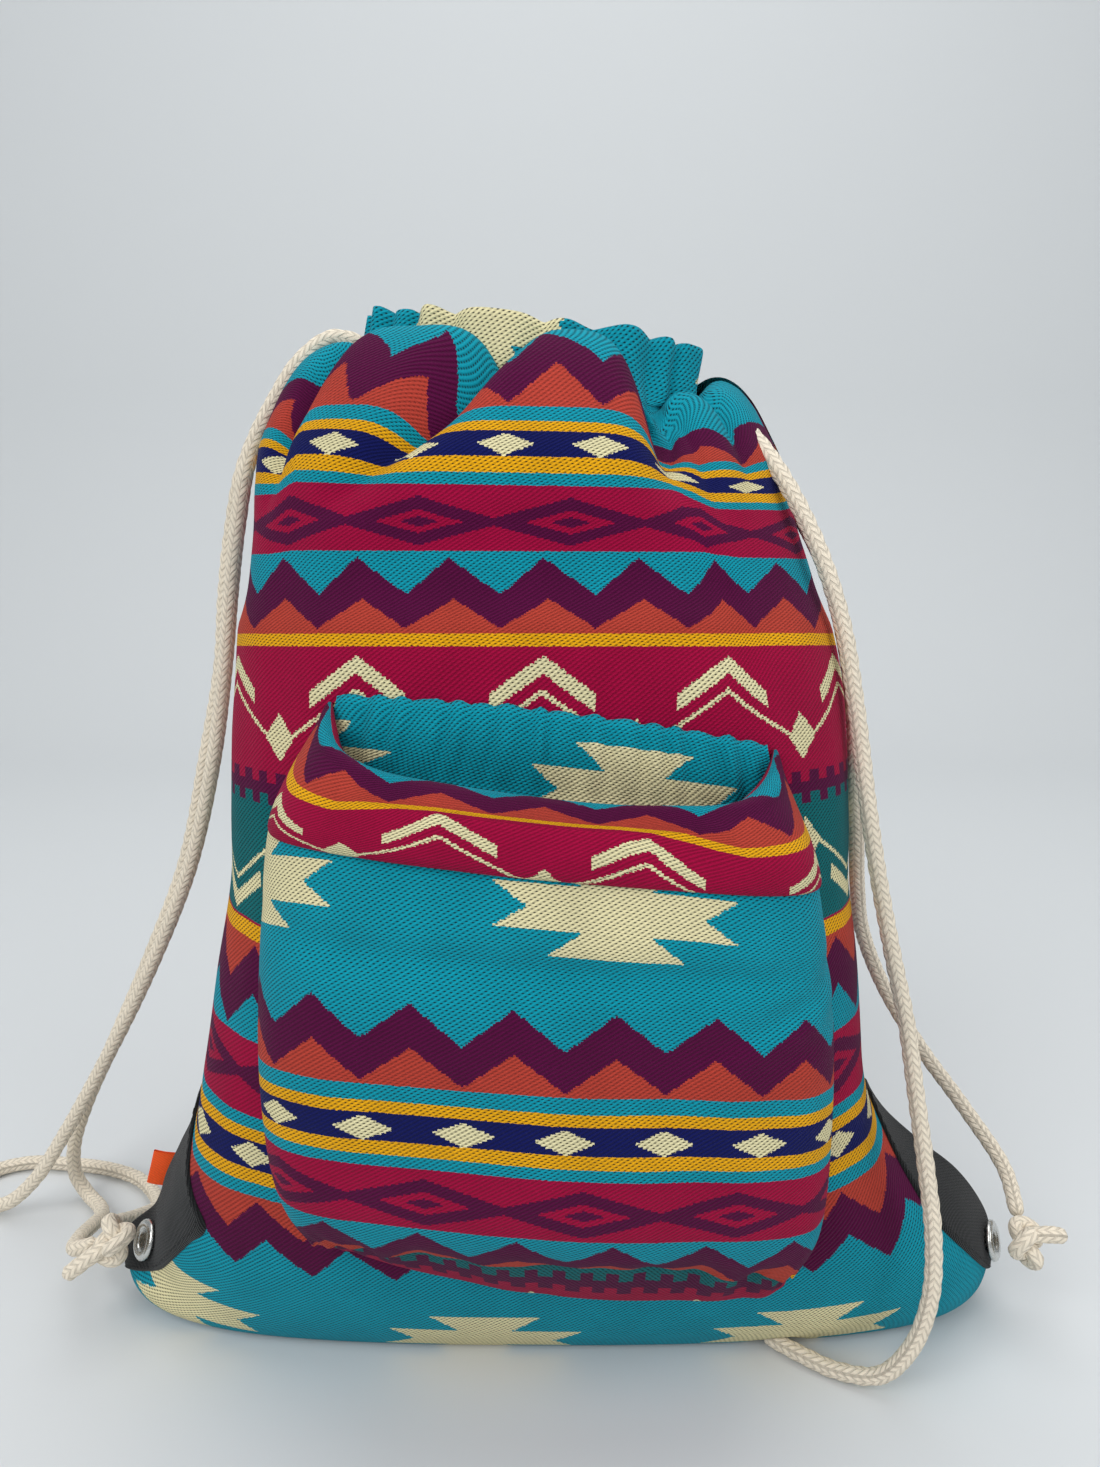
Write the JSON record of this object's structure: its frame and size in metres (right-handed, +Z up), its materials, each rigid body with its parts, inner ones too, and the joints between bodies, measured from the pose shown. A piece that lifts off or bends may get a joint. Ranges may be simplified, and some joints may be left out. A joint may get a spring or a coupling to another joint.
{
  "type": "drawstring backpack",
  "caption": "Soft drawstring backpack of striped woven cloth, stuffed full, with a gathered mouth, an open front pouch pocket, canvas corners with eyelets and thick cord straps.",
  "frame": {"origin": "centre of the bag's box, without its cords, at the height of the surface that it stands on", "axes": "+Z up; the front with the pouch pocket faces -Y; +X is to the right of someone who looks at the front"},
  "size_m": [0.4808, 0.1992, 0.393],
  "materials": {
    "patterned_cloth": "heavy twill jacquard in turquoise, magenta, purple, orange, yellow, navy and cream stripes and zigzags, matte",
    "black_canvas": "plain black canvas, matte",
    "eyelet_metal": "bright nickel-plated pressed eyelet",
    "orange_tape": "plain orange woven tape, unprinted",
    "cotton_cord": "cream braided cotton cord, matte and slightly fuzzy"
  },
  "bodies": {
    "root": {"front_panel": "patterned_cloth", "back_panel": "patterned_cloth", "pocket_front": "patterned_cloth", "pocket_cuff": "patterned_cloth", "pocket_wall": "patterned_cloth", "pocket_base": "patterned_cloth", "corner_patch_left": "black_canvas", "corner_patch_right": "black_canvas", "eyelet_left": "eyelet_metal", "eyelet_right": "eyelet_metal", "eyelet_washer_left": "eyelet_metal", "eyelet_washer_right": "eyelet_metal", "side_tab": "orange_tape", "casing_cord_left": "cotton_cord", "casing_cord_right": "cotton_cord", "knot_left": "cotton_cord", "knot_right": "cotton_cord", "strand_left_front": "cotton_cord", "strand_left_back": "cotton_cord", "strand_right_front": "cotton_cord", "strand_right_back": "cotton_cord"}
  },
  "joints": []
}
